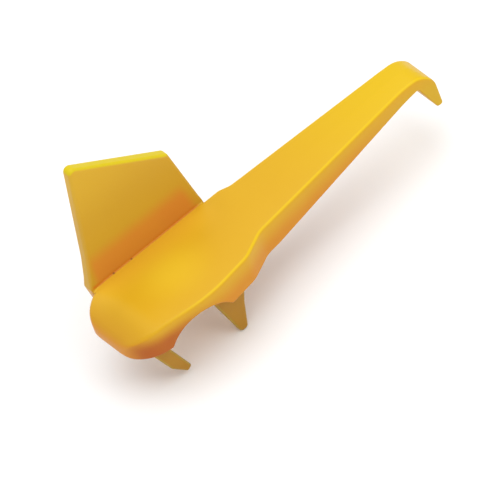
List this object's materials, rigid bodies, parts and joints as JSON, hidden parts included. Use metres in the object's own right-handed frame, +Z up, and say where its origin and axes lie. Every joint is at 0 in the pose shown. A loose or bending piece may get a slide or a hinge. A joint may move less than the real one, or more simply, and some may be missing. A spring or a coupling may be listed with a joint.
{
  "type": "fence insulator",
  "caption": "Moulded plastic clip-on fence insulator: round-nosed saddle with prongs and a grip fin, and a tapered arm ending in a hook that holds the wire away from the post.",
  "frame": {"origin": "crown of the clip throat, midway across the saddle", "axes": "+X along the arm towards the hook, +Y towards the grip fin's side, +Z up, out of the saddle's top"},
  "size_m": [0.1042, 0.028, 0.0601],
  "materials": {
    "moulded_plastic": "satin-gloss moulded polyethylene, yellow all through"
  },
  "bodies": {
    "root": {"saddle_roof": "moulded_plastic", "nose_cap": "moulded_plastic", "near_wall": "moulded_plastic", "far_wall": "moulded_plastic", "grip_fin": "moulded_plastic", "nose_side_rib": "moulded_plastic", "arm_side_rib": "moulded_plastic", "neck_rib": "moulded_plastic", "nose_prong": "moulded_plastic", "arm_prong": "moulded_plastic", "arm_plate": "moulded_plastic", "arm_near_flange": "moulded_plastic", "arm_far_flange": "moulded_plastic", "arm_web": "moulded_plastic", "hook_bend": "moulded_plastic", "hook_lip": "moulded_plastic"}
  },
  "joints": []
}
